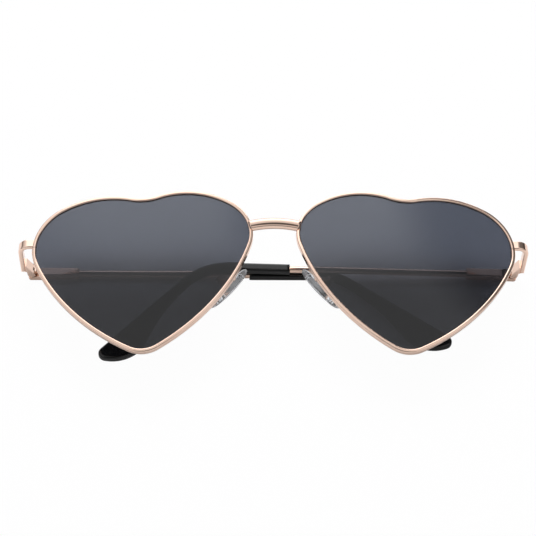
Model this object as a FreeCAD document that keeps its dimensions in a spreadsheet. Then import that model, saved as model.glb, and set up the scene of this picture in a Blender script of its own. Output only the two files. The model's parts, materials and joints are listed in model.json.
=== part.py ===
import FreeCAD
import Part
import Sketcher
import math
import operator
import os
from types import SimpleNamespace

# Heart shaped sunglasses, lying face up on their folded temples.
# X runs along the width, Y up the face, Z up from the table to the lens fronts.
# The origin is on the table, in the middle of the width, on the line of the temples.

Vector = FreeCAD.Vector
Placement = FreeCAD.Placement
Rotation = FreeCAD.Rotation
X_AXIS = Vector(1, 0, 0)
Y_AXIS = Vector(0, 1, 0)
Z_AXIS = Vector(0, 0, 1)
QUARTER_TURN = 90
SAME_PLACE = 1e-6

SIDES = {"right": 1, "left": -1}

# Driving sizes, in millimetres and degrees
SIZES = {
    # heart outline of the lens opening, from the lens centre, with x towards the temple
    "outer_lobe_peak_x": 10.85,
    "outer_lobe_peak_y": 20.65,
    "outer_lobe_radius": 28.2,
    "inner_lobe_peak_x": -13.0,
    "inner_lobe_peak_y": 21.9,
    "inner_lobe_radius": 23.0,
    "inner_side_middle_x": -19.7,
    "inner_side_middle_y": -13.5,
    "inner_side_angle": 219.3,
    "inner_side_radius": 55.3,
    "outer_side_middle_x": 18.7,
    "outer_side_middle_y": -15.3,
    "outer_side_angle": -44.4,
    "outer_side_radius": 56.1,
    "outer_corner_radius": 13.4,
    "cleft_radius": 12.0,
    "inner_corner_radius": 11.6,
    "point_radius": 8.0,
    # where the lenses stand
    "lens_centre_x": 37.8,
    "lens_wrap_angle": 4.0,
    "face_tilt_angle": 6.0,
    # lens
    "lens_curve_radius": 130.0,
    "lens_thickness": 1.5,
    "lens_edge_gap": 0.05,
    "bevel_height": 0.45,
    "bevel_thickness": 0.7,
    "bevel_setback": 0.4,
    # rim
    "rim_wall": 1.1,
    "rim_depth": 1.8,
    "rim_proud": 0.2,
    "rim_round": 0.35,
    "groove_fit": 0.05,
    "blank_depth": 16.0,
    # bridge
    "bridge_height": 12.4,
    "bridge_arch_radius": 28.0,
    "bridge_bar_radius": 1.6,
    "bridge_setback": 0.35,
    "bridge_end_round": 0.6,
    "bridge_end_inset": 0.5,
    # end piece
    "frame_half_width": 73.5,
    "end_piece_height": 7.9,
    "strip_thickness": 1.3,
    "strip_height": 2.8,
    "strip_bend_radius": 2.0,
    "strip_round": 0.4,
    "strip_sink": 0.8,
    # rim lock
    "lock_height": 1.1,
    "lock_overhang": 0.35,
    "lock_depth": 2.2,
    "lock_lap": 0.9,
    "lock_drop": 0.1,
    "lock_slit": 0.12,
    "slit_cut_reach": 6.6,
    "slit_cut_depth": 5.4,
    "lock_screw_radius": 0.33,
    "lock_screw_head_radius": 0.5,
    "lock_screw_head_height": 0.4,
    # hinge
    "hinge_depth": 13.0,
    "hinge_height": 3.0,
    "knuckle_radius": 1.1,
    "knuckle_gap": 0.1,
    "leaf_thickness": 0.4,
    "leaf_length": 4.2,
    "hinge_screw_radius": 0.5,
    "hinge_screw_head_radius": 0.85,
    "hinge_screw_head_height": 0.5,
    "screw_fit": 0.03,
    "open_past_angle": 3.0,
    "open_stop_fit": 0.06,
    "butt_lead": 1.0,
    # tongue, spring and hinge box
    "tongue_thickness": 1.0,
    "tongue_gap": 0.05,
    "tongue_bar_height": 0.9,
    "neck_length": 1.3,
    "guide_length": 4.2,
    "slide_fit": 0.05,
    "rod_radius": 0.35,
    "rod_length": 4.4,
    "rod_head_radius": 0.6,
    "rod_head_length": 0.7,
    "spring_coil_radius": 0.57,
    "spring_wire_radius": 0.12,
    "spring_turns": 7.0,
    "spring_end_gap": 0.04,
    "box_length": 12.7,
    "box_thickness": 2.3,
    "box_height": 3.0,
    "box_round": 0.5,
    "toe_gap": 0.2,
    "toe_round": 0.7,
    "ramp_end": 3.5,
    "chamber_radius": 0.8,
    # temple wire and tip
    "wire_radius": 1.0,
    "spigot_length": 2.6,
    "core_radius": 0.7,
    "core_drop": 18.0,
    "core_fit": 0.02,
    "tip_start_right": 65.8,
    "tip_start_left": 63.6,
    "tip_half_height": 1.5,
    "tip_thickness": 2.3,
    "tip_round": 0.9,
    "tip_end_radius": 2.1,
    "paddle_depth": 6.7,
    "paddle_back": 9.3,
    "tip_bend_radius": 18.0,
    "bend_start_right": 82.9,
    "bend_start_left": 82.4,
    "drop_angle_right": 47.7,
    "drop_angle_left": 36.0,
    "drop_length": 35.3,
    "closed_angle_right": 2.4,
    # nose pad
    "pad_centre_x": 13.1,
    "pad_centre_y": -5.4,
    "pad_centre_z": -8.8,
    "pad_slope_angle": 39.0,
    "pad_splay_angle": 25.0,
    "pad_lean_angle": 10.0,
    "pad_length": 15.5,
    "pad_width": 7.4,
    "pad_thickness": 2.8,
    "pad_round": 1.2,
    "pad_core_length": 10.5,
    "pad_core_width": 4.2,
    "pad_core_thickness": 0.8,
    "tab_length": 2.2,
    "tab_thickness": 1.0,
    "tab_reach": 1.8,
    "pad_pivot_reach": 1.15,
    # pad arm
    "cheek_thickness": 0.45,
    "cheek_length": 2.2,
    "cheek_lift": 0.45,
    "pad_box_fit": 0.05,
    "pad_roof_gap": 0.35,
    "pad_roof_thickness": 0.8,
    "pad_screw_radius": 0.38,
    "pad_screw_head_radius": 0.65,
    "pad_screw_head_height": 0.35,
    "arm_radius": 0.5,
    "arm_bend_radius": 1.6,
    "arm_root_y": -5.2,
    "arm_knee_back": 2.5,
    "arm_sink": 0.05,
}

OPERATIONS = {"+": operator.add, "-": operator.sub, "*": operator.mul, "/": operator.truediv}


class Size:
    """A size worked out from the sheet: its value, and the expression that binds it."""

    def __init__(self, value, text):
        self.value = value
        self.text = text

    def __add__(self, other):
        return combine(self, "+", other)

    def __radd__(self, other):
        return combine(other, "+", self)

    def __sub__(self, other):
        return combine(self, "-", other)

    def __rsub__(self, other):
        return combine(other, "-", self)

    def __mul__(self, other):
        return combine(self, "*", other)

    def __rmul__(self, other):
        return combine(other, "*", self)

    def __truediv__(self, other):
        return combine(self, "/", other)

    def __neg__(self):
        return combine(self, "*", -1)


def as_size(number):
    if isinstance(number, Size):
        return number
    return Size(float(number), f"({number})")


def combine(first, sign, second):
    first = as_size(first)
    second = as_size(second)
    value = OPERATIONS[sign](first.value, second.value)
    return Size(value, f"({first.text} {sign} {second.text})")


def sine(angle):
    return Size(math.sin(math.radians(angle.value)), f"sin({angle.text} * 1 deg)")


def cosine(angle):
    return Size(math.cos(math.radians(angle.value)), f"cos({angle.text} * 1 deg)")


doc = FreeCAD.newDocument("heart_sunglasses")
sheet = doc.addObject("Spreadsheet::Sheet", "sizes")
for row, (name, value) in enumerate(SIZES.items(), 1):
    sheet.set(f"A{row}", name)
    sheet.set(f"B{row}", str(value))
    sheet.setAlias(f"B{row}", name)
doc.recompute()
d = SimpleNamespace(**{name: Size(float(sheet.get(name)), f"sizes.{name}") for name in SIZES})

nodes = []


def add(kind, name):
    return doc.addObject(kind, name)


def bind(feature, **sizes):
    for prop, size in sizes.items():
        feature.setExpression(prop, as_size(size).text)


def keep(feature, label):
    """The feature is a finished piece, and its label names the piece's file."""
    feature.Label = label
    nodes.append(feature)
    return feature


def built(feature):
    doc.recompute()
    return feature


# Sketch helpers


def fix(sketch, kind, size, *where):
    """A dimension of the sketch, bound to its size."""
    index = sketch.addConstraint(Sketcher.Constraint(kind, *where, size.value))
    label = f"size_{index}"
    sketch.renameConstraint(index, label)
    sketch.setExpression(f"Constraints.{label}", size.text)


def fix_point(sketch, geometry, corner, x, y):
    fix(sketch, "DistanceX", as_size(x), -1, 1, geometry, corner)
    fix(sketch, "DistanceY", as_size(y), -1, 1, geometry, corner)


def draw_circle(sketch, x, y, radius):
    x = as_size(x)
    y = as_size(y)
    circle = Part.Circle(Vector(x.value, y.value, 0), Z_AXIS, radius.value)
    index = sketch.addGeometry(circle, False)
    fix_point(sketch, index, 3, x, y)
    fix(sketch, "Radius", radius, index)


def draw_outline(sketch, points):
    """Closed outline. A point is (x, y), or (x, y, centre, turn) where an arc starts there."""
    count = len(points)
    places = [(as_size(p[0]), as_size(p[1])) for p in points]
    turns = [p[3] if len(p) == 4 else 0 for p in points]
    for k in range(count):
        x, y = places[k]
        end_x, end_y = places[(k + 1) % count]
        if turns[k] == 0:
            start = Vector(x.value, y.value, 0)
            end = Vector(end_x.value, end_y.value, 0)
            sketch.addGeometry(Part.LineSegment(start, end), False)
            continue
        centre_x = as_size(points[k][2][0]).value
        centre_y = as_size(points[k][2][1]).value
        radius = math.hypot(x.value - centre_x, y.value - centre_y)
        first = math.atan2(y.value - centre_y, x.value - centre_x)
        last = math.atan2(end_y.value - centre_y, end_x.value - centre_x)
        if turns[k] < 0:
            first, last = last, first
        circle = Part.Circle(Vector(centre_x, centre_y, 0), Z_AXIS, radius)
        sketch.addGeometry(Part.ArcOfCircle(circle, first, last), False)
    starts = [1 if turn >= 0 else 2 for turn in turns]
    for k in range(count):
        after = (k + 1) % count
        joint = Sketcher.Constraint("Coincident", k, 3 - starts[k], after, starts[after])
        sketch.addConstraint(joint)
    for k in range(count):
        x, y = places[k]
        if turns[k - 1] == 0:
            fix_point(sketch, k, starts[k], x, y)
        else:
            # the arc that ends here already holds the point to its circle
            centre_x, centre_y = [as_size(c) for c in points[k - 1][2]]
            upright = abs(x.value - centre_x.value) > abs(y.value - centre_y.value)
            if upright:
                fix(sketch, "DistanceY", y, -1, 1, k, starts[k])
            else:
                fix(sketch, "DistanceX", x, -1, 1, k, starts[k])
        if turns[k] != 0:
            fix_point(sketch, k, 3, *points[k][2])


def new_body(label, placement):
    body = add("PartDesign::Body", label)
    body.Placement = placement
    return body


def sketch_on(body, role):
    sketch = body.newObject("Sketcher::SketchObject", f"{body.Name}_sketch")
    plane = next(f for f in body.Origin.OriginFeatures if f.Role == role)
    sketch.AttachmentSupport = [(plane, "")]
    sketch.MapMode = "FlatFace"
    return sketch


def pad(body, sketch, length):
    """Symmetric pad of a sketch."""
    feature = body.newObject("PartDesign::Pad", f"{body.Name}_pad")
    feature.Profile = sketch
    feature.SideType = "Symmetric"
    bind(feature, Length=length)
    return built(feature)


def pocket(body, sketch, length):
    """Symmetric pocket of a sketch, which has to take something away."""
    before = body.Shape.Volume
    feature = body.newObject("PartDesign::Pocket", f"{body.Name}_pocket")
    feature.Profile = sketch
    feature.SideType = "Symmetric"
    bind(feature, Length=length)
    built(feature)
    if not body.Shape.Volume < before:
        raise RuntimeError(f"{feature.Name} cuts nothing")
    return feature


def round_edges(body, radius, chosen):
    """Fillet of the body's edges that the test picks."""
    tip = body.Tip
    names = [f"Edge{k}" for k, edge in enumerate(tip.Shape.Edges, 1) if chosen(edge)]
    feature = body.newObject("PartDesign::Fillet", f"{body.Name}_round")
    feature.Base = (tip, names)
    bind(feature, Radius=radius)
    return built(feature)


# Boolean and primitive helpers


def cut(base, tool, name):
    feature = add("Part::Cut", name)
    feature.Base = base
    feature.Tool = tool
    return built(feature)


def common(base, tool, name):
    feature = add("Part::Common", name)
    feature.Base = base
    feature.Tool = tool
    return built(feature)


def fuse(shapes, name):
    feature = add("Part::MultiFuse", name)
    feature.Shapes = shapes
    return built(feature)


def group(shapes, name):
    feature = add("Part::Compound", name)
    feature.Links = shapes
    return built(feature)


def cylinder(name, radius, height, placement):
    feature = add("Part::Cylinder", name)
    bind(feature, Radius=radius, Height=height)
    feature.Placement = placement
    return built(feature)


def block(name, length, width, height, placement):
    """Box with its own corner at the placement."""
    feature = add("Part::Box", name)
    bind(feature, Length=length, Width=width, Height=height)
    feature.Placement = placement
    return built(feature)


def at(x, y, z):
    return Placement(Vector(x, y, z), Rotation())


def along_y():
    """Turns a cylinder's axis from Z to Y."""
    return Placement(Vector(0, 0, 0), Rotation(X_AXIS, -QUARTER_TURN))


def fillet_feature(base, radius, chosen, name):
    edges = [k for k, edge in enumerate(base.Shape.Edges, 1) if chosen(edge)]
    feature = add("Part::Fillet", name)
    feature.Base = base
    feature.Edges = [(k, radius.value, radius.value) for k in edges]
    return built(feature)


def is_curved(edge):
    return not isinstance(edge.Curve, Part.Line)


def middle_of(edge):
    first, last = edge.ParameterRange
    return edge.valueAt((first + last) / 2)


# Heart outline: two lobes and two sides, with a rounded corner between each pair

HEART = ["outer_lobe", "cleft", "inner_lobe", "inner_corner",
         "inner_side", "point", "outer_side", "outer_corner"]
CORNERS = {"cleft": 1, "inner_corner": -1, "point": -1, "outer_corner": -1}


def lobe_centre(name):
    peak_x = getattr(d, f"{name}_peak_x")
    peak_y = getattr(d, f"{name}_peak_y")
    return peak_x, peak_y - getattr(d, f"{name}_radius")


def side_centre(name):
    radius = getattr(d, f"{name}_radius")
    angle = getattr(d, f"{name}_angle")
    x = getattr(d, f"{name}_middle_x") - radius * cosine(angle)
    y = getattr(d, f"{name}_middle_y") - radius * sine(angle)
    return x, y


BIG_CENTRES = {
    "outer_lobe": lobe_centre("outer_lobe"),
    "inner_lobe": lobe_centre("inner_lobe"),
    "inner_side": side_centre("inner_side"),
    "outer_side": side_centre("outer_side"),
}


def corner_centre(before, after, radius, outside):
    """Centre of the corner arc that touches two of the big arcs, outside or inside both."""
    centres = []
    reaches = []
    for name in (before, after):
        x, y = BIG_CENTRES[name]
        centres.append(Vector(x.value, y.value, 0))
        reaches.append(getattr(d, f"{name}_radius").value + outside * radius)
    apart = centres[1] - centres[0]
    span = apart.Length
    along = (reaches[0] ** 2 - reaches[1] ** 2 + span**2) / (2 * span)
    across = math.sqrt(reaches[0] ** 2 - along**2)
    ahead = apart / span
    sideways = Vector(ahead.y, -ahead.x, 0) * outside
    return centres[0] + ahead * along + sideways * across


def heart_centre(k):
    """Centre of the heart's arc number k, for the right hand side."""
    name = HEART[k]
    if name in BIG_CENTRES:
        x, y = BIG_CENTRES[name]
        return Vector(x.value, y.value, 0)
    radius = getattr(d, f"{name}_radius").value
    return corner_centre(HEART[k - 1], HEART[(k + 1) % len(HEART)], radius, CORNERS[name])


HEART_CENTRES = [heart_centre(k) for k in range(len(HEART))]


def meeting_point(k):
    """Where arc k touches the arc after it."""
    after = (k + 1) % len(HEART)
    radius = getattr(d, f"{HEART[k]}_radius").value
    next_radius = getattr(d, f"{HEART[after]}_radius").value
    ahead = HEART_CENTRES[after] - HEART_CENTRES[k]
    ahead.normalize()
    if "cleft" in (HEART[k], HEART[after]) or radius > next_radius:
        return HEART_CENTRES[k] + ahead * radius
    return HEART_CENTRES[after] - ahead * next_radius


def heart_sketch(name, side, offset):
    """The heart outline moved out by an offset, in the plane of one lens."""
    sign = SIDES[side]
    sketch = add("Sketcher::SketchObject", name)
    sketch.Placement = lens_placement(side)
    count = len(HEART)
    offset = as_size(offset)
    ends = []
    radii = []
    for k, label in enumerate(HEART):
        bulge = -1 if label == "cleft" else 1
        radius = getattr(d, f"{label}_radius") + offset * bulge
        centre = HEART_CENTRES[k]
        sweep = []
        for point in (meeting_point(k - 1), meeting_point(k)):
            away = point - centre
            sweep.append(math.atan2(away.y, away.x * sign))
        with_clock = bulge * sign < 0
        if with_clock:
            sweep.reverse()
        circle = Part.Circle(Vector(centre.x * sign, centre.y, 0), Z_AXIS, radius.value)
        sketch.addGeometry(Part.ArcOfCircle(circle, *sweep), False)
        ends.append((2, 1) if with_clock else (1, 2))
        radii.append(radius)
    for k in range(count):
        after = (k + 1) % count
        joint = Sketcher.Constraint("Tangent", k, ends[k][1], after, ends[after][0])
        sketch.addConstraint(joint)
    for k, label in enumerate(HEART):
        fix(sketch, "Radius", radii[k], k)
        if label in BIG_CENTRES:
            x, y = BIG_CENTRES[label]
            fix_point(sketch, k, 3, x * sign, y)
    return built(sketch)


def heart_prism(name, side, offset):
    feature = add("Part::Extrusion", name)
    feature.Base = heart_sketch(f"{name}_outline", side, offset)
    feature.DirMode = "Normal"
    feature.Solid = True
    feature.Symmetric = True
    bind(feature, LengthFwd=2 * d.blank_depth)
    return built(feature)


# Where the front stands: the end pieces leave the rims level with the temples

outer_offset = d.knuckle_radius + d.knuckle_gap + d.leaf_thickness + d.strip_thickness
temple_axis = outer_offset - d.box_thickness / 2
pivot_height = temple_axis + d.tip_thickness / 2
pivot_x = d.frame_half_width - outer_offset
box_start = d.knuckle_radius + d.knuckle_gap
strip_rear = d.butt_lead + outer_offset * sine(d.open_past_angle) + d.open_stop_fit


def dome_height(x, y, depth):
    """Height of the rim's domed surface at a depth below its front, in the lens frame."""
    radius = d.lens_curve_radius.value + d.rim_proud.value - depth
    return math.sqrt(radius**2 - x**2 - y**2) - d.lens_curve_radius.value


def arc_reach(name, y, offset, towards):
    """How far out the heart's arc is at a height y, on its own side."""
    centre = HEART_CENTRES[HEART.index(name)]
    radius = getattr(d, f"{name}_radius").value + offset
    return centre.x + towards * math.sqrt(radius**2 - (y - centre.y) ** 2)


def wrap_placement(side):
    sign = SIDES[side]
    turn = Rotation(Y_AXIS, sign * d.lens_wrap_angle.value)
    return Placement(Vector(sign * d.lens_centre_x.value, 0, 0), turn)


half_wall = d.rim_wall.value / 2
half_depth = d.rim_depth.value / 2
end_y = d.end_piece_height.value
end_x = arc_reach("outer_corner", end_y, half_wall, 1)
rim_end = wrap_placement("right").multVec(Vector(end_x, end_y, dome_height(end_x, end_y, half_depth)))
tilt = Rotation(X_AXIS, d.face_tilt_angle.value)
front_height = (pivot_height + d.hinge_depth).value
tilted_end = tilt.multVec(rim_end)
front = Placement(Vector(0, -tilted_end.y, front_height - tilted_end.z), tilt)


def lens_placement(side):
    return front * wrap_placement(side)


def dome(name, side, radius):
    """Ball whose cap is a lens surface, with its poles off to the sides of the lens."""
    feature = add("Part::Sphere", name)
    bind(feature, Radius=radius)
    turn = Rotation(X_AXIS, -QUARTER_TURN) * Rotation(Z_AXIS, QUARTER_TURN)
    centre = Vector(0, 0, -d.lens_curve_radius.value)
    feature.Placement = lens_placement(side) * Placement(centre, turn)
    return built(feature)


def dome_layer(name, side, front_radius, thickness):
    """What lies between two domes with one centre."""
    outer = dome(f"{name}_front", side, front_radius)
    inner = dome(f"{name}_back", side, front_radius - thickness)
    return cut(outer, inner, name)


# Lenses and rims

bevel_front = d.lens_curve_radius - d.bevel_setback
rim_front = d.lens_curve_radius + d.rim_proud


def make_lens(side):
    """Lens cut from a domed blank, with a bevelled edge that stands in the rim's groove."""
    name = f"lens_{side}"
    plate = common(
        heart_prism(f"{name}_prism", side, -d.lens_edge_gap),
        dome_layer(f"{name}_blank", side, d.lens_curve_radius, d.lens_thickness),
        f"{name}_plate",
    )
    bevel = common(
        heart_prism(f"{name}_bevel_prism", side, d.bevel_height),
        dome_layer(f"{name}_bevel_blank", side, bevel_front, d.bevel_thickness),
        f"{name}_bevel",
    )
    keep(fuse([plate, bevel], f"{name}_whole"), name)


def rim_envelope(side):
    """The rim's rounded wire before it is grooved, which other pieces are coped to."""
    name = f"rim_{side}"
    ring = cut(
        heart_prism(f"{name}_outer", side, d.rim_wall),
        heart_prism(f"{name}_opening", side, 0),
        f"{name}_ring",
    )
    layer = dome_layer(f"{name}_layer", side, rim_front, d.rim_depth)
    square = common(ring, layer, f"{name}_square")
    return fillet_feature(square, d.rim_round, is_curved, f"{name}_envelope")


slit_y = -(d.strip_height / 2 + d.lock_drop + d.lock_slit / 2).value
lock_x = (front * rim_end).x + half_wall


def lock_frame(side, y):
    """Frame on the rim's outside, at the depth of the end piece."""
    return at(SIDES[side] * lock_x, y, front_height)


def make_rim(side, envelope):
    """Grooved eyewire with a slit at the rim lock."""
    name = f"rim_{side}"
    groove = common(
        heart_prism(f"{name}_groove_prism", side, d.bevel_height + d.groove_fit),
        dome_layer(
            f"{name}_groove_layer",
            side,
            bevel_front + d.groove_fit,
            d.bevel_thickness + 2 * d.groove_fit,
        ),
        f"{name}_groove",
    )
    grooved = cut(envelope, groove, f"{name}_grooved")
    reach = d.slit_cut_reach
    depth = d.slit_cut_depth
    corner = at(-reach.value / 2, -d.lock_slit.value / 2, -depth.value / 2)
    slit = block(f"{name}_slit", reach, d.lock_slit, depth, lock_frame(side, slit_y) * corner)
    keep(cut(grooved, slit, f"{name}_whole"), name)


# Rim locks


def make_rim_lock(side, envelope):
    """Two blocks behind the rim, either side of the slit, and the screw through both."""
    sign = SIDES[side]
    half_slit = d.lock_slit.value / 2
    bottoms = {
        "upper": slit_y + half_slit,
        "lower": slit_y - half_slit - d.lock_height.value,
    }
    length = d.lock_overhang + d.lock_lap
    inset = d.lock_lap.value
    start = -inset if sign > 0 else inset - length.value
    screw_x = sign * (d.lock_overhang - d.lock_lap).value / 2
    behind = (d.strip_thickness + d.lock_depth).value / 2
    screw_frame = lock_frame(side, 0) * at(screw_x, 0, -behind)
    for which, bottom in bottoms.items():
        name = f"rim_lock_{which}_{side}"
        corner = lock_frame(side, bottom) * at(start, 0, -behind - d.lock_depth.value / 2)
        blank = block(f"{name}_blank", length, d.lock_height, d.lock_depth, corner)
        seated = cut(blank, envelope, f"{name}_seated")
        fit = 0 if which == "upper" else d.screw_fit
        hole_place = screw_frame * at(0, bottom, 0) * along_y()
        hole = cylinder(f"{name}_hole", d.lock_screw_radius + fit, d.lock_height, hole_place)
        keep(cut(seated, hole, f"{name}_whole"), name)
    bottom = bottoms["lower"]
    shank_length = 2 * d.lock_height + d.lock_slit
    shank_place = screw_frame * at(0, bottom, 0) * along_y()
    shank = cylinder(f"lock_shank_{side}", d.lock_screw_radius, shank_length, shank_place)
    head_place = screw_frame * at(0, bottom - d.lock_screw_head_height.value, 0) * along_y()
    head = cylinder(
        f"lock_head_{side}", d.lock_screw_head_radius, d.lock_screw_head_height, head_place
    )
    return fuse([shank, head], f"lock_screw_{side}")


# Bridge


def make_bridge(envelopes):
    """Arched round bar whose ends lap over the fronts of both rims."""
    nose_y = d.bridge_height.value
    nose_x = arc_reach("inner_corner", nose_y, d.bridge_end_inset.value, -1)
    rim_point = Vector(nose_x, nose_y, dome_height(nose_x, nose_y, 0))
    seat = wrap_placement("right").multVec(rim_point)
    half_angle = math.degrees(math.asin(seat.x / d.bridge_arch_radius.value))
    bar = add("Part::Torus", "bridge_bar")
    bind(bar, Radius1=d.bridge_arch_radius, Radius2=d.bridge_bar_radius)
    bar.Angle3 = 2 * half_angle
    start = Rotation(Z_AXIS, QUARTER_TURN - half_angle)
    centre = Vector(0, nose_y - d.bridge_arch_radius.value, seat.z - d.bridge_setback.value)
    bar.Placement = front * Placement(centre, start)
    built(bar)

    def is_end(edge):
        return abs(edge.Length - 2 * math.pi * d.bridge_bar_radius.value) < d.bridge_end_round.value

    rounded = fillet_feature(bar, d.bridge_end_round, is_end, "bridge_rounded")
    on_right = cut(rounded, envelopes["right"], "bridge_on_right")
    keep(cut(on_right, envelopes["left"], "bridge_whole"), "bridge")


# End pieces and the front leaves of the hinges


def pivot_placement(side):
    return at(SIDES[side] * pivot_x.value, 0, pivot_height.value)


def make_end_piece(side, envelope):
    """Flat strip that leaves the rim sideways and is bent back to the hinge."""
    sign = SIDES[side]
    body = new_body(f"end_piece_{side}_strip", pivot_placement(side))
    sketch = sketch_on(body, "XZ_Plane")
    outer = outer_offset
    inner = outer - d.strip_thickness
    top = d.hinge_depth + d.strip_thickness / 2
    under = top - d.strip_thickness
    bend = d.strip_bend_radius + d.strip_thickness
    bend_x = outer - bend
    bend_y = top - bend
    centre = (bend_x * sign, bend_y)
    root = as_size((front * rim_end).x + half_wall - d.strip_sink.value - pivot_x.value)
    draw_outline(sketch, [
        (root * sign, top),
        (bend_x * sign, top, centre, -sign),
        (outer * sign, bend_y),
        (outer * sign, strip_rear),
        (inner * sign, strip_rear),
        (inner * sign, bend_y, centre, sign),
        (bend_x * sign, under),
        (root * sign, under),
    ])
    pad(body, sketch, d.strip_height)
    half_height = d.strip_height.value / 2

    def is_long_edge(edge):
        level = all(abs(abs(v.Point.y) - half_height) < SAME_PLACE for v in edge.Vertexes)
        return level and abs(abs(middle_of(edge).y) - half_height) < SAME_PLACE

    round_edges(body, d.strip_round, is_long_edge)
    keep(cut(body, envelope, f"end_piece_{side}_coped"), f"end_piece_{side}")


tongue_slot = d.tongue_thickness + 2 * d.tongue_gap


def make_hinge_leaf(side):
    """Plate on the inside of the end piece, with two knuckles that reach back past its end."""
    sign = SIDES[side]
    body = new_body(f"hinge_leaf_{side}_body", pivot_placement(side))
    radius = d.knuckle_radius
    plate_x = radius + d.knuckle_gap
    knuckles = sketch_on(body, "XZ_Plane")
    draw_outline(knuckles, [
        (-radius * sign, 0),
        (plate_x * sign, d.leaf_length),
        (plate_x * sign, strip_rear),
        (radius * sign, 0, (0, 0), -sign),
    ])
    pad(body, knuckles, d.hinge_height)
    gap = sketch_on(body, "XZ_Plane")
    clear = radius + d.knuckle_gap
    draw_outline(gap, [
        (-clear * sign, -clear),
        (plate_x * sign, -clear),
        (plate_x * sign, clear),
        (-clear * sign, clear),
    ])
    pocket(body, gap, tongue_slot)
    plate = sketch_on(body, "XZ_Plane")
    back_x = plate_x + d.leaf_thickness
    draw_outline(plate, [
        (plate_x * sign, strip_rear),
        (back_x * sign, strip_rear),
        (back_x * sign, d.leaf_length),
        (plate_x * sign, d.leaf_length),
    ])
    pad(body, plate, d.strip_height)
    hole = sketch_on(body, "XZ_Plane")
    draw_circle(hole, 0, 0, d.hinge_screw_radius + d.screw_fit)
    pocket(body, hole, 2 * d.hinge_height)
    keep(body, f"hinge_leaf_{side}")


def make_hinge_screw(side):
    half = d.hinge_height.value / 2
    shank_place = pivot_placement(side) * at(0, -half, 0) * along_y()
    shank = cylinder(f"hinge_shank_{side}", d.hinge_screw_radius, d.hinge_height, shank_place)
    head_place = pivot_placement(side) * at(0, half, 0) * along_y()
    head = cylinder(
        f"hinge_head_{side}", d.hinge_screw_head_radius, d.hinge_screw_head_height, head_place
    )
    return fuse([shank, head], f"hinge_screw_{side}")


# Temples: reach is measured from the hinge's axis towards the tip

CLOSED_ANGLES = {"right": d.closed_angle_right.value, "left": 0.0}


def temple_placement(side):
    """Frame of a folded temple, with its origin on the hinge's axis."""
    return pivot_placement(side) * Placement(Vector(0, 0, 0), Rotation(Y_AXIS, CLOSED_ANGLES[side]))


def axis_placement(side):
    """The same frame, moved to the middle line of the temple."""
    return temple_placement(side) * at(0, 0, -temple_axis.value)


def reach_placement(side, reach):
    """On the temple's middle line, with Z pointing towards the tip."""
    towards = Rotation(Y_AXIS, -SIDES[side] * QUARTER_TURN)
    return axis_placement(side) * Placement(Vector(-SIDES[side] * reach, 0, 0), towards)


bar_top = temple_axis - d.tongue_bar_height / 2
bar_bottom = temple_axis + d.tongue_bar_height / 2
neck_end = box_start + d.neck_length
guide_end = box_start + d.guide_length
box_end = box_start + d.box_length
bar_end = guide_end - d.slide_fit
rod_end = bar_end + d.rod_length


def make_tongue(side):
    """Flat tongue with the middle knuckle, and the rod that draws the spring together."""
    sign = -SIDES[side]
    name = f"hinge_tongue_{side}"
    body = new_body(f"{name}_plate", temple_placement(side))
    eye = sketch_on(body, "XZ_Plane")
    draw_circle(eye, 0, 0, d.knuckle_radius)
    pad(body, eye, d.tongue_thickness)
    arm = sketch_on(body, "XZ_Plane")
    shoulder = d.knuckle_radius / 2
    draw_outline(arm, [
        (0, shoulder),
        (box_start * sign, shoulder),
        (neck_end * sign, -shoulder),
        (neck_end * sign, -bar_top),
        (bar_end * sign, -bar_top),
        (bar_end * sign, -bar_bottom),
        ((box_start + d.slide_fit) * sign, -bar_bottom),
        ((box_start + d.slide_fit) * sign, -shoulder),
        (0, -shoulder),
    ])
    pad(body, arm, d.tongue_thickness)
    hole = sketch_on(body, "XZ_Plane")
    draw_circle(hole, 0, 0, d.hinge_screw_radius + d.screw_fit)
    pocket(body, hole, 2 * d.tongue_thickness)
    rod = cylinder(
        f"{name}_rod", d.rod_radius, d.rod_length, reach_placement(side, bar_end.value)
    )
    head = cylinder(
        f"{name}_head", d.rod_head_radius, d.rod_head_length, reach_placement(side, rod_end.value)
    )
    keep(fuse([body, rod, head], f"{name}_whole"), name)


def make_spring(side):
    """Coil spring round the rod, between the end of the guide and the rod's head."""
    name = f"hinge_spring_{side}"
    room = rod_end - guide_end
    coil_height = room - 2 * d.spring_wire_radius - 2 * d.spring_end_gap
    start = guide_end + d.spring_wire_radius + d.spring_end_gap
    place = reach_placement(side, start.value)
    helix = add("Part::Helix", f"{name}_line")
    bind(
        helix,
        Radius=d.spring_coil_radius,
        Height=coil_height,
        Pitch=coil_height / d.spring_turns,
    )
    helix.Placement = place
    section = add("Part::Circle", f"{name}_section")
    bind(section, Radius=d.spring_wire_radius)
    coil_start = Placement(Vector(d.spring_coil_radius.value, 0, 0), Rotation(X_AXIS, QUARTER_TURN))
    section.Placement = place * coil_start
    doc.recompute()
    wire = add("Part::Sweep", f"{name}_wire")
    wire.Sections = [section]
    wire.Spine = (helix, [])
    wire.Solid = True
    wire.Frenet = True
    keep(built(wire), name)


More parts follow.
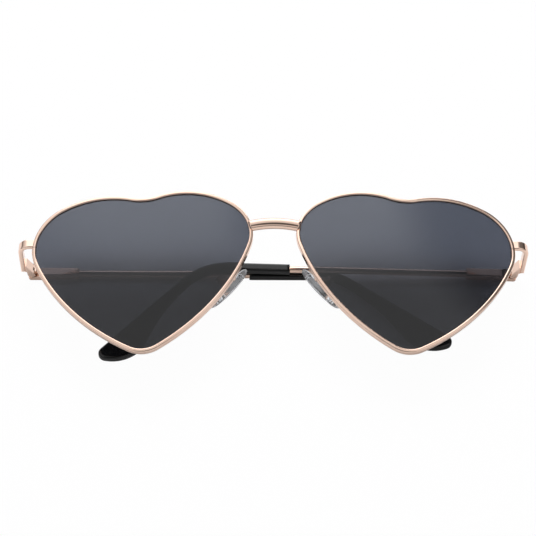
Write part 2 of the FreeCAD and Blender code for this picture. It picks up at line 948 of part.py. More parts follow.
def make_hinge_box(side):
    """Flat sided box with a toe that slopes past the knuckles, a guide for the tongue and a bore."""
    sign = -SIDES[side]
    name = f"hinge_box_{side}"
    body = new_body(f"{name}_body", temple_placement(side))
    shell = sketch_on(body, "XZ_Plane")
    inner_face = outer_offset - d.box_thickness
    toe_end = -d.butt_lead
    toe_face = box_start + d.toe_gap
    draw_outline(shell, [
        (d.ramp_end * sign, -inner_face),
        (box_end * sign, -inner_face),
        (box_end * sign, -outer_offset),
        (toe_end * sign, -outer_offset),
        (toe_end * sign, -toe_face),
    ])
    pad(body, shell, d.box_height)

    def is_toe_edge(edge):
        middle = middle_of(edge)
        at_front = abs(middle.x - (toe_end * sign).value) < SAME_PLACE
        return at_front and abs(middle.z + outer_offset.value) < SAME_PLACE

    def is_outer_edge(edge):
        ends = [v.Point for v in edge.Vertexes]
        along = abs(ends[0].x - ends[1].x) > d.box_length.value / 2
        at_back = all(abs(p.x - (box_end * sign).value) < SAME_PLACE for p in ends)
        return along or at_back

    round_edges(body, d.toe_round, is_toe_edge)
    round_edges(body, d.box_round, is_outer_edge)
    guide = sketch_on(body, "XZ_Plane")
    outside = inner_face - d.box_round
    draw_outline(guide, [
        (toe_end * sign, -outside),
        ((neck_end + d.slide_fit) * sign, -outside),
        ((neck_end + d.slide_fit) * sign, -(bar_top - d.slide_fit)),
        (guide_end * sign, -(bar_top - d.slide_fit)),
        (guide_end * sign, -(bar_bottom + d.slide_fit)),
        (toe_end * sign, -(bar_bottom + d.slide_fit)),
    ])
    pocket(body, guide, tongue_slot)
    bore = cylinder(
        f"{name}_bore",
        d.chamber_radius,
        box_end - guide_end,
        reach_placement(side, guide_end.value),
    )
    keep(cut(body, bore, f"{name}_whole"), name)


TIP_STARTS = {"right": d.tip_start_right, "left": d.tip_start_left}
BEND_STARTS = {"right": d.bend_start_right, "left": d.bend_start_left}
DROP_ANGLES = {"right": d.drop_angle_right, "left": d.drop_angle_left}


def bend_placement(side):
    """Centre of the tip's bend."""
    x = -SIDES[side] * BEND_STARTS[side].value
    return axis_placement(side) * at(x, -d.tip_bend_radius.value, 0)


def core_run(name, side, radius, start):
    """Round rod along the middle of the tip: straight, round the bend and down the drop."""
    sign = -SIDES[side]
    angle = DROP_ANGLES[side]
    straight = cylinder(
        f"{name}_straight", radius, BEND_STARTS[side] - start, reach_placement(side, start.value)
    )
    bend = add("Part::Torus", f"{name}_bend")
    bind(bend, Radius1=d.tip_bend_radius, Radius2=radius, Angle3=angle)
    first = QUARTER_TURN - angle.value if sign > 0 else QUARTER_TURN
    bend.Placement = bend_placement(side) * Placement(Vector(0, 0, 0), Rotation(Z_AXIS, first))
    built(bend)
    turned = Placement(Vector(0, 0, 0), Rotation(Z_AXIS, -sign * angle.value))
    towards = Placement(
        Vector(0, d.tip_bend_radius.value, 0), Rotation(Y_AXIS, sign * QUARTER_TURN)
    )
    drop = cylinder(f"{name}_drop", radius, d.core_drop, bend_placement(side) * turned * towards)
    return [straight, bend, drop]


def make_wire(side):
    """Round temple wire, with a spigot in the hinge box and a thin core inside the tip."""
    name = f"temple_wire_{side}"
    spigot_start = box_end - d.spigot_length
    spigot = cylinder(
        f"{name}_spigot", d.chamber_radius, d.spigot_length,
        reach_placement(side, spigot_start.value),
    )
    shaft_length = TIP_STARTS[side] - box_end
    shaft = cylinder(
        f"{name}_shaft", d.wire_radius, shaft_length, reach_placement(side, box_end.value)
    )
    core = core_run(f"{name}_core", side, d.core_radius, TIP_STARTS[side])
    keep(fuse([spigot, shaft] + core, f"{name}_whole"), name)


def make_tip(side):
    """Cover that runs straight, bends down, and widens on its lower side to a paddle."""
    sign = -SIDES[side]
    name = f"temple_tip_{side}"
    half = d.tip_half_height
    bend = d.tip_bend_radius
    angle = DROP_ANGLES[side]
    start = TIP_STARTS[side]
    bend_start = BEND_STARTS[side]
    body = new_body(f"{name}_body", axis_placement(side))

    def bend_point(radius):
        x = bend_start + radius * sine(angle)
        y = radius * cosine(angle) - bend
        return x * sign, y

    centre = (bend_start * sign, -bend)
    shank = sketch_on(body, "XY_Plane")
    draw_outline(shank, [
        (start * sign, half),
        (bend_start * sign, half, centre, -sign),
        bend_point(bend + half),
        (*bend_point(bend - half), centre, sign),
        (bend_start * sign, -half),
        (start * sign, -half),
    ])
    pad(body, shank, d.tip_thickness)
    drop = d.drop_length
    end_radius = d.tip_end_radius
    nose_x = drop - end_radius
    nose_y = half - end_radius
    belly_x = drop - d.paddle_back
    belly_reach = nose_x - belly_x
    belly_depth = d.paddle_depth + nose_y
    belly = (belly_reach * belly_reach + belly_depth * belly_depth - end_radius * end_radius) / (
        2 * (belly_depth - end_radius)
    )
    belly_y = belly - d.paddle_depth
    widening = d.paddle_depth - half
    flare = (belly_x * belly_x + widening * widening) / (2 * widening) - belly
    flare_y = -half - flare
    to_end = belly / (belly - end_radius)
    to_belly = flare / (flare + belly)
    last_x = belly_x + (nose_x - belly_x) * to_end
    last_y = belly_y + (nose_y - belly_y) * to_end
    first_x = belly_x * to_belly
    first_y = flare_y + (belly_y - flare_y) * to_belly
    paddle = sketch_on(body, "XY_Plane")
    bend_end = bend_point(bend)
    paddle.AttachmentOffset = Placement(
        Vector(bend_end[0].value, bend_end[1].value, 0), Rotation(Z_AXIS, -sign * angle.value)
    )
    draw_outline(paddle, [
        (0, half),
        (nose_x * sign, half, (nose_x * sign, nose_y), -sign),
        (last_x * sign, last_y, (belly_x * sign, belly_y), -sign),
        (first_x * sign, first_y, (0, flare_y), sign),
        (0, -half),
    ])
    pad(body, paddle, d.tip_thickness)
    face = d.tip_thickness.value / 2

    def is_rim_edge(edge):
        return abs(abs(middle_of(edge).z) - face) < SAME_PLACE

    round_edges(body, d.tip_round, is_rim_edge)
    bore = fuse(core_run(f"{name}_bore", side, d.core_radius + d.core_fit, start), f"{name}_bore")
    keep(cut(body, bore, f"{name}_whole"), name)


# Nose pads: x down the pad, z away from the nose


def pad_placement(side):
    """Frame of one nose pad, in the middle of the pad."""
    sign = SIDES[side]
    slope = math.radians(d.pad_slope_angle.value)
    splay = math.radians(d.pad_splay_angle.value)
    lean = math.radians(d.pad_lean_angle.value)
    down = Vector(math.sin(slope), -math.cos(slope), 0)
    outwards = Vector(math.cos(slope), math.sin(slope), 0)
    back = outwards * math.cos(splay) + Z_AXIS * math.sin(splay)
    rearward = outwards * math.sin(splay) - Z_AXIS * math.cos(splay)
    length_way = down * math.cos(lean) + rearward * math.sin(lean)
    length_way.x *= sign
    back.x *= sign
    centre = Vector(sign * d.pad_centre_x.value, d.pad_centre_y.value, d.pad_centre_z.value)
    across = back.cross(length_way)
    return front * Placement(centre, Rotation(length_way, across, back, "ZXY"))


def oval_plate(name, length, width, thickness, placement):
    """Oval plate, centred on its placement."""
    outline = add("Part::Ellipse", f"{name}_outline")
    bind(outline, MajorRadius=length / 2, MinorRadius=width / 2)
    outline.Placement = placement
    built(outline)
    plate = add("Part::Extrusion", name)
    plate.Base = outline
    plate.DirMode = "Normal"
    plate.Solid = True
    plate.Symmetric = True
    bind(plate, LengthFwd=thickness)
    return built(plate)


def make_nose_pad(side):
    """Soft oval pad with a stiff core inside, whose tab comes out at the back."""
    place = pad_placement(side)
    blank = oval_plate(f"pad_blank_{side}", d.pad_length, d.pad_width, d.pad_thickness, place)
    rounded = fillet_feature(
        blank, d.pad_round, lambda edge: len(edge.Vertexes) < 2, f"pad_rounded_{side}"
    )
    plate = oval_plate(
        f"core_plate_{side}", d.pad_core_length, d.pad_core_width, d.pad_core_thickness, place
    )
    tab_height = d.pad_thickness / 2 + d.tab_reach
    corner = at(-d.tab_length.value / 2, -d.tab_thickness.value / 2, 0)
    tab = block(f"core_tab_{side}", d.tab_length, d.tab_thickness, tab_height, place * corner)
    insert = fuse([plate, tab], f"core_insert_{side}")
    keep(cut(rounded, insert, f"nose_pad_{side}_whole"), f"nose_pad_{side}")
    half = d.tab_thickness.value
    hole_place = pad_pivot(side) * at(0, -half, 0) * along_y()
    hole = cylinder(
        f"core_hole_{side}", d.pad_screw_radius + d.screw_fit, 2 * d.tab_thickness, hole_place
    )
    keep(cut(insert, hole, f"pad_core_{side}_whole"), f"pad_core_{side}")


pivot_lift = d.pad_thickness / 2 + d.pad_pivot_reach


def pad_pivot(side):
    """Frame on the pad's screw, with Y along the screw."""
    return pad_placement(side) * at(0, 0, pivot_lift.value)


def make_pad_arm(side, envelope):
    """Bent wire from the rim to a forked box that holds the pad's tab."""
    name = f"pad_arm_{side}"
    place = pad_placement(side)
    sign = SIDES[side]
    slot = d.tab_thickness + 2 * d.pad_box_fit
    width = slot + 2 * d.cheek_thickness
    lift = d.pad_thickness / 2 + d.cheek_lift
    roof = d.pad_thickness / 2 + d.tab_reach + d.pad_roof_gap
    height = roof + d.pad_roof_thickness - lift
    half_length = d.cheek_length.value / 2
    shell = block(
        f"{name}_shell", d.cheek_length, width, height,
        place * at(-half_length, -width.value / 2, lift.value),
    )
    gap = block(
        f"{name}_gap", 2 * d.cheek_length, slot, roof - lift,
        place * at(-2 * half_length, -slot.value / 2, lift.value),
    )
    forked = cut(shell, gap, f"{name}_forked")
    hole_place = pad_pivot(side) * at(0, -width.value, 0) * along_y()
    hole = cylinder(f"{name}_hole", d.pad_screw_radius, 2 * width, hole_place)
    box = cut(forked, hole, f"{name}_box")
    root_y = d.arm_root_y.value
    root_x = arc_reach("inner_side", root_y, half_wall, -1)
    root_point = Vector(sign * root_x, root_y, dome_height(root_x, root_y, half_depth))
    root = lens_placement(side).multVec(root_point)
    knee = lens_placement(side).multVec(root_point - Z_AXIS * d.arm_knee_back.value)
    forward = -sign * (width / 2 - d.arm_sink)
    end = place.multVec(Vector(0, forward.value, (roof + d.pad_roof_thickness / 2).value))
    wire = bent_wire(f"{name}_wire", [root, knee, end], d.arm_radius, d.arm_bend_radius)
    coped = cut(wire, envelope, f"{name}_coped")
    keep(fuse([coped, box], f"{name}_whole"), name)
    half_width = width.value / 2
    head_start = half_width if sign > 0 else -half_width - d.pad_screw_head_height.value
    head_place = pad_pivot(side) * at(0, head_start, 0) * along_y()
    head = cylinder(
        f"pad_head_{side}", d.pad_screw_head_radius, d.pad_screw_head_height, head_place
    )
    shank_place = pad_pivot(side) * at(0, -half_width, 0) * along_y()
    shank = cylinder(f"pad_shank_{side}", d.pad_screw_radius, width, shank_place)
    return fuse([shank, head], f"pad_screw_{side}")


def bent_wire(name, corners, radius, bend_radius):
    """Round wire through three corners, with an arc at the middle one."""
    start, knee, end = corners
    before = (start - knee).normalize()
    after = (end - knee).normalize()
    half_turn = math.acos(before.dot(after)) / 2
    tangent = bend_radius.value / math.tan(half_turn)
    centre_way = (before + after).normalize()
    first = knee + before * tangent
    last = knee + after * tangent
    centre = knee + centre_way * (bend_radius.value / math.sin(half_turn))
    middle = centre - centre_way * bend_radius.value
    line = add("Part::Feature", f"{name}_line")
    line.Shape = Part.Wire([
        Part.LineSegment(start, first).toShape(),
        Part.Arc(first, middle, last).toShape(),
        Part.LineSegment(last, end).toShape(),
    ])
    section = add("Part::Circle", f"{name}_section")
    bind(section, Radius=radius)
    section.Placement = Placement(start, Rotation(Z_AXIS, knee - start))
    doc.recompute()
    wire = add("Part::Sweep", name)
    wire.Sections = [section]
    wire.Spine = (line, [])
    wire.Solid = True
    return built(wire)


def make_all():
    envelopes = {side: rim_envelope(side) for side in SIDES}
    lock_screws = []
    hinge_screws = []
    pad_screws = []
    for side in SIDES:
        make_lens(side)
        make_rim(side, envelopes[side])
        make_end_piece(side, envelopes[side])
        lock_screws.append(make_rim_lock(side, envelopes[side]))
        make_hinge_leaf(side)
        hinge_screws.append(make_hinge_screw(side))
        make_tongue(side)
        make_spring(side)
        make_hinge_box(side)
        make_wire(side)
        make_tip(side)
        make_nose_pad(side)
        pad_screws.append(make_pad_arm(side, envelopes[side]))
    make_bridge(envelopes)
    keep(group(lock_screws, "lock_screw_pair"), "rim_lock_screws")
    keep(group(hinge_screws, "hinge_screw_pair"), "hinge_screws")
    keep(group(pad_screws, "pad_screw_pair"), "pad_screws")


def check_all():
    failed = [o.Name for o in doc.Objects if "Invalid" in o.State or "Error" in o.State]
    if failed:
        raise RuntimeError(f"failed features: {failed}")
    for node in nodes:
        if node.Shape.isNull() or not node.Shape.isValid():
            raise RuntimeError(f"{node.Label} has no valid shape")


make_all()
doc.recompute()
check_all()
os.makedirs("parts", exist_ok=True)
for node in nodes:
    node.Shape.exportStep(f"parts/{node.Label}.step")
    print(f"{node.Label}: {len(node.Shape.Solids)} solids, {node.Shape.Volume:.2f} mm3")
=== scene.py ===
import json
import math

import bmesh
import bpy
from mathutils import Matrix, Vector


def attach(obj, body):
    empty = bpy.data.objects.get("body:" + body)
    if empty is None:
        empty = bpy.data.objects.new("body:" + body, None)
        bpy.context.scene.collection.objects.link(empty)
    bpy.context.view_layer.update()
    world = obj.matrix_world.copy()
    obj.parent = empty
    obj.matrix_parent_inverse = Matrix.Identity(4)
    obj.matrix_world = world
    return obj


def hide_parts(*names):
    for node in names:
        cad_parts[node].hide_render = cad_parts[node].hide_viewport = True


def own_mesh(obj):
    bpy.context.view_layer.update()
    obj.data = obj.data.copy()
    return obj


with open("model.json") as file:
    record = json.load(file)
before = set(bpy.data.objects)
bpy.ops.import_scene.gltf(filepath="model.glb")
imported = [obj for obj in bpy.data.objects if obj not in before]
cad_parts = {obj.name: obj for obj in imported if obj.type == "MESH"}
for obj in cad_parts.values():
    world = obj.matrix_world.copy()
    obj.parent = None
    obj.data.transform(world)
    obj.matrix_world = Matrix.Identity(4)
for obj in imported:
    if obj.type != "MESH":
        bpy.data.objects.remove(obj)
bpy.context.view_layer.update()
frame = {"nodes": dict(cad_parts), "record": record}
nodes = frame["nodes"]
scene = bpy.context.scene
scene.view_settings.view_transform = "Standard"

MM = 0.001
SIDES = {"right": 1, "left": -1}

# Where the front of the glasses stands: tilted back a little from the table
FRONT_TILT = math.radians(6.0)
FRONT_PLACE = (0, -8.577 * MM, 21.924 * MM)
FRONT = Matrix.Translation(FRONT_PLACE) @ Matrix.Rotation(FRONT_TILT, 4, "X")


# Node trees

def linear(code):
    """Linear colour of an sRGB hex value."""
    channels = [int(code[k:k + 2], 16) / 255 for k in (1, 3, 5)]
    return [c / 12.92 if c <= 0.04045 else ((c + 0.055) / 1.055) ** 2.4 for c in channels] + [1.0]


def add_node(tree, kind, settings=None, links=None):
    """A node with its settings (properties by name, sockets by name or number) and its links."""
    node = tree.nodes.new(kind)
    for key, value in (settings or {}).items():
        if isinstance(key, str) and hasattr(node, key):
            setattr(node, key, value)
        else:
            node.inputs[key].default_value = value
    for key, source in (links or {}).items():
        tree.links.new(source, node.inputs[key])
    return node


def new_material(name):
    """An empty material and its node tree."""
    material = bpy.data.materials.new(name)
    material.use_nodes = True
    tree = material.node_tree
    tree.nodes.clear()
    return material, tree


def per_metre(size_mm):
    """Texture scale whose pattern repeats about once in a real size in millimetres."""
    return 1 / (size_mm * MM)


def finish_material(tree, shader):
    """The finished shader goes to the surface."""
    add_node(tree, "ShaderNodeOutputMaterial", links={"Surface": shader.outputs[0]})


# Materials

def rose_gold_plate():
    """Brass, tumbled bright and plated in rose gold: a mirror with a soft waviness and faint wipe marks."""
    material, tree = new_material("rose_gold_plate")
    place = add_node(tree, "ShaderNodeTexCoord").outputs["Object"]
    tone = add_node(tree, "ShaderNodeTexNoise", {"Scale": per_metre(9.0), "Detail": 2.0}, {"Vector": place})
    colour = add_node(tree, "ShaderNodeMix", {
        "data_type": "RGBA", 6: linear("#FADFCD"), 7: linear("#F3CEBA"),
    }, {0: tone.outputs["Fac"]})
    haze = add_node(tree, "ShaderNodeTexNoise", {"Scale": per_metre(0.9), "Detail": 4.0}, {"Vector": place})
    rough = add_node(tree, "ShaderNodeMapRange", {
        "From Min": 0.3, "From Max": 0.7, "To Min": 0.06, "To Max": 0.13,
    }, {"Value": haze.outputs["Fac"]})
    stretch = add_node(tree, "ShaderNodeMapping", {"Scale": (0.12, 1.0, 1.0)}, {"Vector": place})
    wipes = add_node(tree, "ShaderNodeTexNoise", {"Scale": per_metre(0.25), "Detail": 3.0},
                     {"Vector": stretch.outputs[0]})
    bump = add_node(tree, "ShaderNodeBump", {"Strength": 0.06, "Distance": 0.02 * MM},
                    {"Height": wipes.outputs["Fac"]})
    finish_material(tree, add_node(tree, "ShaderNodeBsdfPrincipled", {"Metallic": 1.0}, {
        "Base Color": colour.outputs[2], "Roughness": rough.outputs[0], "Normal": bump.outputs[0],
    }))
    return material


def spring_wire():
    """Drawn carbon steel wire: grey metal with fine lines from the die."""
    material, tree = new_material("spring_wire")
    place = add_node(tree, "ShaderNodeTexCoord").outputs["Object"]
    lines = add_node(tree, "ShaderNodeTexNoise", {"Scale": per_metre(0.05), "Detail": 3.0},
                     {"Vector": place})
    rough = add_node(tree, "ShaderNodeMapRange", {"To Min": 0.25, "To Max": 0.45},
                     {"Value": lines.outputs["Fac"]})
    finish_material(tree, add_node(tree, "ShaderNodeBsdfPrincipled", {
        "Metallic": 1.0, "Base Color": linear("#9A9A9E"),
    }, {"Roughness": rough.outputs[0]}))
    return material


def smoke_polycarbonate():
    """Dyed polycarbonate lens, hard coated: clear smoke grey, with painted shade that darkens the tint
    towards the bottom.
    """
    material, tree = new_material("smoke_polycarbonate")
    place = add_node(tree, "ShaderNodeTexCoord").outputs["Object"]
    split = add_node(tree, "ShaderNodeSeparateXYZ", links={"Vector": place})
    # painted shade: the smoke tint is made darker from the top of the lens down to its bottom
    painted_shade_fade = add_node(tree, "ShaderNodeMapRange", {
        "interpolation_type": "SMOOTHSTEP", "From Min": -23 * MM, "From Max": 1 * MM,
    }, {"Value": split.outputs["Y"]})
    tint_with_painted_shade = add_node(tree, "ShaderNodeMix", {
        "data_type": "RGBA", 6: linear("#3C3E46"), 7: linear("#545965"),
    }, {0: painted_shade_fade.outputs[0]})
    ripple = add_node(tree, "ShaderNodeTexNoise", {"Scale": per_metre(14.0), "Detail": 1.0},
                      {"Vector": place})
    bump = add_node(tree, "ShaderNodeBump", {"Strength": 0.02, "Distance": 0.05 * MM},
                    {"Height": ripple.outputs["Fac"]})
    finish_material(tree, add_node(tree, "ShaderNodeBsdfPrincipled", {
        "Transmission Weight": 1.0, "IOR": 1.52, "Roughness": 0.0,
    }, {"Base Color": tint_with_painted_shade.outputs[2], "Normal": bump.outputs[0]}))
    return material


def black_acetate():
    """Cellulose acetate, tumble polished: deep black with a soft gloss and a faint orange peel."""
    material, tree = new_material("black_acetate")
    place = add_node(tree, "ShaderNodeTexCoord").outputs["Object"]
    peel = add_node(tree, "ShaderNodeTexNoise", {"Scale": per_metre(1.6), "Detail": 2.0}, {"Vector": place})
    rough = add_node(tree, "ShaderNodeMapRange", {
        "From Min": 0.3, "From Max": 0.7, "To Min": 0.12, "To Max": 0.24,
    }, {"Value": peel.outputs["Fac"]})
    bump = add_node(tree, "ShaderNodeBump", {"Strength": 0.08, "Distance": 0.03 * MM},
                    {"Height": peel.outputs["Fac"]})
    finish_material(tree, add_node(tree, "ShaderNodeBsdfPrincipled", {
        "Base Color": linear("#0A0A0B"), "IOR": 1.48,
    }, {"Roughness": rough.outputs[0], "Normal": bump.outputs[0]}))
    return material


def clear_silicone():
    """Moulded silicone rubber: water clear, with the slight matt of the mould's skin."""
    material, tree = new_material("clear_silicone")
    place = add_node(tree, "ShaderNodeTexCoord").outputs["Object"]
    skin = add_node(tree, "ShaderNodeTexNoise", {"Scale": per_metre(0.5), "Detail": 3.0}, {"Vector": place})
    rough = add_node(tree, "ShaderNodeMapRange", {"To Min": 0.06, "To Max": 0.22},
                     {"Value": skin.outputs["Fac"]})
    finish_material(tree, add_node(tree, "ShaderNodeBsdfPrincipled", {
        "Base Color": linear("#F3F4F5"), "Transmission Weight": 1.0, "IOR": 1.41,
    }, {"Roughness": rough.outputs[0]}))
    return material


def clear_polycarbonate():
    """Injection moulded polycarbonate insert: clear, with a glossy skin and faint flow marks."""
    material, tree = new_material("clear_polycarbonate")
    place = add_node(tree, "ShaderNodeTexCoord").outputs["Object"]
    flow = add_node(tree, "ShaderNodeTexNoise", {"Scale": per_metre(1.2), "Detail": 2.0}, {"Vector": place})
    rough = add_node(tree, "ShaderNodeMapRange", {"To Min": 0.03, "To Max": 0.12},
                     {"Value": flow.outputs["Fac"]})
    finish_material(tree, add_node(tree, "ShaderNodeBsdfPrincipled", {
        "Base Color": linear("#EEF0F2"), "Transmission Weight": 1.0, "IOR": 1.58,
    }, {"Roughness": rough.outputs[0]}))
    return material


FINISHES = {
    "rose_gold": rose_gold_plate(),
    "smoke_lens": smoke_polycarbonate(),
    "black_acetate": black_acetate(),
    "clear_silicone": clear_silicone(),
    "clear_plastic": clear_polycarbonate(),
    "spring_steel": spring_wire(),
}

for part in frame["record"]["subparts"]:
    piece = nodes[part["node"]]
    piece.data.materials.clear()
    piece.data.materials.append(FINISHES[part["material_slot"]])


# New pieces

def add_piece(name, shape, slot, body):
    """Object at the origin from a finished bmesh, with its finish, riding on its body."""
    mesh = bpy.data.meshes.new(name)
    shape.to_mesh(mesh)
    shape.free()
    mesh.materials.append(FINISHES[slot])
    piece = bpy.data.objects.new(name, mesh)
    scene.collection.objects.link(piece)
    for face in mesh.polygons:
        face.use_smooth = True
    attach(piece, body)
    return piece


# Lenses

LENS_CENTRE = 37.8 * MM
LENS_WRAP = math.radians(4.0)
LENS_CURVE = 130.0 * MM
# how much deeper than the solid's the front of the lens lies, so that the rim stands round it as a wall
LENS_SET_BACK = 0.35 * MM
# how near to the dome a point counts as on it, how near two points are one, and which edges stay sharp
SURFACE_FIT = 0.01 * MM
MERGE_GAP = 0.0001 * MM
SHARP_TURN = math.radians(30.0)


def make_lens_glass(side):
    """The lens with its front face ground down to the bevel that holds it in the rim."""
    sign = SIDES[side]
    seat = FRONT @ Matrix.Translation((sign * LENS_CENTRE, 0, 0)) @ Matrix.Rotation(sign * LENS_WRAP, 4, "Y")
    dome_centre = seat @ Vector((0, 0, -LENS_CURVE))
    shape = bmesh.new()
    shape.from_mesh(nodes[f"lens_{side}"].data)
    bmesh.ops.remove_doubles(shape, verts=shape.verts, dist=MERGE_GAP)
    for edge in shape.edges:
        edge.smooth = edge.calc_face_angle() < SHARP_TURN
    front = [v for v in shape.verts if (v.co - dome_centre).length > LENS_CURVE - SURFACE_FIT]
    bmesh.ops.translate(shape, vec=seat.to_3x3() @ Vector((0, 0, -LENS_SET_BACK)), verts=front)
    glass = add_piece(f"lens_glass_{side}", shape, "smoke_lens", "front")
    # the normals stored with the solid's loose triangles don't fit the merged mesh
    if glass.data.has_custom_normals:
        glass.data.attributes.remove(glass.data.attributes["custom_normal"])
    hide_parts(f"lens_{side}")


# Nose pads, lengths in millimetres: x down the pad, z away from the nose

PAD_CENTRE = (13.1, -5.4, -8.8)
PAD_SLOPE = math.radians(39.0)
PAD_SPLAY = math.radians(25.0)
PAD_LEAN = math.radians(10.0)
PAD_LENGTH = 15.5
PAD_WIDTH = 7.4
# how far out and how far back each ring of the pad's section lies: the nose side is crowned
PAD_SECTION = [(0.0, -1.4), (0.45, -1.32), (0.78, -1.05), (0.96, -0.5), (1.0, 0.1),
               (0.95, 0.75), (0.78, 1.15), (0.5, 1.3), (0.0, 1.34)]
PAD_STEPS = 48
PAD_MERGE_GAP = 1e-5
PAD_TAPER = 0.10


def pad_matrix(sign):
    down = Vector((math.sin(PAD_SLOPE), -math.cos(PAD_SLOPE), 0))
    outwards = Vector((math.cos(PAD_SLOPE), math.sin(PAD_SLOPE), 0))
    upwards = Vector((0, 0, 1))
    back = outwards * math.cos(PAD_SPLAY) + upwards * math.sin(PAD_SPLAY)
    rearward = outwards * math.sin(PAD_SPLAY) - upwards * math.cos(PAD_SPLAY)
    along = down * math.cos(PAD_LEAN) + rearward * math.sin(PAD_LEAN)
    along.x *= sign
    back.x *= sign
    turn = Matrix((along, back.cross(along), back)).transposed().to_4x4()
    centre = Vector(PAD_CENTRE) * MM
    centre.x *= sign
    return FRONT @ Matrix.Translation(centre) @ turn


def make_nose_pad(side):
    """Oval silicone pad, crowned towards the nose and a little wider at its lower end."""
    shape = bmesh.new()
    ring = [shape.verts.new((out, 0, back)) for out, back in PAD_SECTION]
    edges = [shape.edges.new(pair) for pair in zip(ring, ring[1:])]
    bmesh.ops.spin(shape, geom=ring + edges, axis=(0, 0, 1), cent=(0, 0, 0), angle=2 * math.pi,
                   steps=PAD_STEPS, use_merge=True)
    bmesh.ops.remove_doubles(shape, verts=shape.verts, dist=PAD_MERGE_GAP)
    bmesh.ops.scale(shape, vec=(PAD_LENGTH / 2, PAD_WIDTH / 2, 1), verts=shape.verts)
    for vert in shape.verts:
        vert.co.y *= 1 + PAD_TAPER * vert.co.x / (PAD_LENGTH / 2)
    bmesh.ops.recalc_face_normals(shape, faces=shape.faces)
    bmesh.ops.scale(shape, vec=(MM, MM, MM), verts=shape.verts)
    bmesh.ops.transform(shape, matrix=pad_matrix(SIDES[side]), verts=shape.verts)
    pad = add_piece(f"silicone_pad_{side}", shape, "clear_silicone", f"{side}_nose_pad")
    smooth = pad.modifiers.new("smooth", "SUBSURF")
    smooth.levels = 1
    smooth.render_levels = 1
    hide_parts(f"nose_pad_{side}")


for side in SIDES:
    make_lens_glass(side)
    make_nose_pad(side)


# Hinge springs

def press_spring(joint):
    """The coil that the hinge box holds gets its own copy of its mesh."""
    held = joint["deforming_nodes"][0]
    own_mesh(nodes[held["node"]])


for joint in frame["record"]["behaviour"]["joints"]:
    if "deforming_nodes" in joint:
        press_spring(joint)


# Floor, light and camera

FLOOR_HALF_SIZE = 3.0
# how white the paper is to rays from a mirror and through glass, and how clear to the eye
WHITE_IN_MIRRORS = 0.15
WHITE_THROUGH_GLASS = 0.02
CLEAR_TO_EYE = 0.975


def white_floor():
    """Pale paper, lit from above. To the eye it is a thin veil of shadow on white, open from below."""
    material, tree = new_material("white_paper")
    rays = add_node(tree, "ShaderNodeLightPath")
    mirrored = add_node(tree, "ShaderNodeMath", {"operation": "MULTIPLY", 1: WHITE_IN_MIRRORS},
                        {0: rays.outputs["Is Glossy Ray"]})
    white = add_node(tree, "ShaderNodeMix", {3: WHITE_THROUGH_GLASS}, {
        0: rays.outputs["Is Transmission Ray"], 2: mirrored.outputs[0],
    })
    paper = add_node(tree, "ShaderNodeBsdfDiffuse", {"Color": linear("#FAFAFB")})
    glow = add_node(tree, "ShaderNodeEmission", {"Color": linear("#FFFFFF"), "Strength": 1.0})
    sheet = add_node(tree, "ShaderNodeMixShader", links={
        0: white.outputs[0], 1: paper.outputs[0], 2: glow.outputs[0],
    })
    veil = add_node(tree, "ShaderNodeMath", {"operation": "MULTIPLY", 1: CLEAR_TO_EYE},
                    {0: rays.outputs["Is Camera Ray"]})
    under = add_node(tree, "ShaderNodeNewGeometry").outputs["Backfacing"]
    opened = add_node(tree, "ShaderNodeMath", {"operation": "MAXIMUM"}, {0: veil.outputs[0], 1: under})
    clear = add_node(tree, "ShaderNodeBsdfTransparent")
    finish_material(tree, add_node(tree, "ShaderNodeMixShader", links={
        0: opened.outputs[0], 1: sheet.outputs[0], 2: clear.outputs[0],
    }))
    shape = bmesh.new()
    bmesh.ops.create_grid(shape, x_segments=1, y_segments=1, size=FLOOR_HALF_SIZE)
    mesh = bpy.data.meshes.new("floor")
    shape.to_mesh(mesh)
    shape.free()
    mesh.materials.append(material)
    floor = bpy.data.objects.new("floor", mesh)
    scene.collection.objects.link(floor)


# Round patches of the sky: where they are, and how near to there they begin and are full
LAMP_WAY = (-0.1, 0.72, 0.687)
LAMP_SPAN = (0.85, 0.99)
LAMP_GLOW = 0.75
CAMERA_WAY = (0.0, -0.588, 0.809)
CAMERA_SPAN = (0.88, 0.985)
CAMERA_DARK = 0.12
FLAG_WAY = (0.75, 0.55, 0.37)
FLAG_SPAN = (0.70, 0.88)
FLAG_DARK = 0.2
AMBIENT = 0.3


def sky_patch(tree, way, centre, span, outside, inside):
    """A value that is one thing over the sky and another in a round patch with a soft edge."""
    nearness = add_node(tree, "ShaderNodeVectorMath", {"operation": "DOT_PRODUCT", 1: centre}, {0: way})
    patch = add_node(tree, "ShaderNodeMapRange", {
        "interpolation_type": "SMOOTHSTEP",
        "From Min": span[0], "From Max": span[1], "To Min": outside, "To Max": inside,
    }, {"Value": nearness.outputs["Value"]})
    return patch.outputs[0]


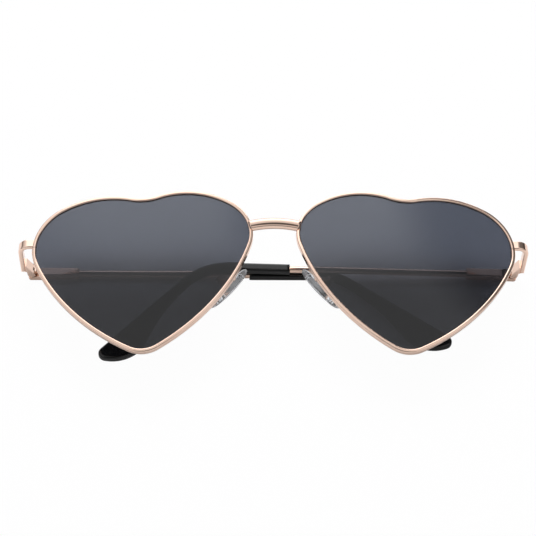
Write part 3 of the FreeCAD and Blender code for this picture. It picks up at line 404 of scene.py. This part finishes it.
def studio_world():
    """White to the eye. Mirrors find dark flags round the table, the lamp's glow and the camera."""
    world = bpy.data.worlds.new("studio")
    world.use_nodes = True
    tree = world.node_tree
    tree.nodes.clear()
    way = add_node(tree, "ShaderNodeTexCoord").outputs["Generated"]
    split = add_node(tree, "ShaderNodeSeparateXYZ", links={"Vector": way})
    height = add_node(tree, "ShaderNodeMath", {"operation": "ABSOLUTE"}, {0: split.outputs["Z"]})
    flags = add_node(tree, "ShaderNodeMapRange", {
        "interpolation_type": "SMOOTHSTEP",
        "From Min": 0.05, "From Max": 0.55, "To Min": 0.18, "To Max": 0.8,
    }, {"Value": height.outputs[0]})
    glow = sky_patch(tree, way, LAMP_WAY, LAMP_SPAN, 0.0, LAMP_GLOW)
    side_flag = sky_patch(tree, way, FLAG_WAY, FLAG_SPAN, 1.0, FLAG_DARK)
    camera = sky_patch(tree, way, CAMERA_WAY, CAMERA_SPAN, 1.0, CAMERA_DARK)
    lit = add_node(tree, "ShaderNodeMath", {"operation": "ADD"}, {0: flags.outputs[0], 1: glow})
    shaded = add_node(tree, "ShaderNodeMath", {"operation": "MULTIPLY"}, {0: lit.outputs[0], 1: side_flag})
    room = add_node(tree, "ShaderNodeMath", {"operation": "MULTIPLY"}, {0: shaded.outputs[0], 1: camera})
    rays = add_node(tree, "ShaderNodeLightPath")
    seen = add_node(tree, "ShaderNodeMath", {"operation": "MAXIMUM"},
                    {0: rays.outputs["Is Camera Ray"], 1: rays.outputs["Is Transmission Ray"]})
    ambient = add_node(tree, "ShaderNodeBackground", {"Color": linear("#FFFFFF"), "Strength": AMBIENT})
    mirrored = add_node(tree, "ShaderNodeBackground", {"Strength": 1.0}, {"Color": room.outputs[0]})
    white = add_node(tree, "ShaderNodeBackground", {"Color": linear("#FFFFFF"), "Strength": 1.0})
    reflected = add_node(tree, "ShaderNodeMixShader", links={
        0: rays.outputs["Is Glossy Ray"], 1: ambient.outputs[0], 2: mirrored.outputs[0],
    })
    whole = add_node(tree, "ShaderNodeMixShader", links={
        0: seen.outputs[0], 1: reflected.outputs[0], 2: white.outputs[0],
    })
    add_node(tree, "ShaderNodeOutputWorld", links={"Surface": whole.outputs[0]})
    scene.world = world


def soft_box(name, place, target, size, power, mirrored):
    """A rectangular lamp turned to its target, which shows in mirrors or only lights."""
    lamp = bpy.data.lights.new(name, "AREA")
    lamp.shape = "RECTANGLE"
    lamp.size, lamp.size_y = size
    lamp.energy = power
    box = bpy.data.objects.new(name, lamp)
    box.location = place
    box.rotation_mode = "QUATERNION"
    box.rotation_quaternion = (Vector(target) - Vector(place)).to_track_quat("-Z", "Y")
    box.visible_glossy = mirrored
    box.visible_transmission = mirrored
    scene.collection.objects.link(box)


white_floor()
studio_world()
soft_box("top_light", place=(0, 0.40, 0.68), target=(0, 0, 0), size=(0.7, 0.5), power=4.8, mirrored=False)
soft_box("back_strip", place=(0, 0.75, 0.32), target=(0, 0, 0.02), size=(1.0, 0.3), power=2.2, mirrored=True)

# The photograph is taken from in front of and above the glasses, a little to one side
VIEW_TILT = math.radians(-30.0)
VIEW_YAW = math.radians(1.611)
VIEW_ROLL = math.radians(0.605)
VIEW_DISTANCE = 0.5
FOCAL_LENGTH = 119.2
SENSOR = 36.0
NEAREST_SEEN = 0.01
FRAME_SHIFT = (-0.01333, -0.02034)


def add_camera():
    """The camera of the photograph, placed from the front of the glasses."""
    turned = (Matrix.Rotation(VIEW_ROLL, 4, "Z") @ Matrix.Rotation(VIEW_TILT, 4, "X")
              @ Matrix.Rotation(VIEW_YAW, 4, "Y"))
    lens = bpy.data.cameras.new("camera")
    lens.lens = FOCAL_LENGTH
    lens.sensor_width = SENSOR
    lens.shift_x, lens.shift_y = FRAME_SHIFT
    lens.clip_start = NEAREST_SEEN
    camera = bpy.data.objects.new("camera", lens)
    camera.matrix_world = FRONT @ turned.inverted() @ Matrix.Translation((0, 0, VIEW_DISTANCE))
    scene.collection.objects.link(camera)
    scene.camera = camera


add_camera()
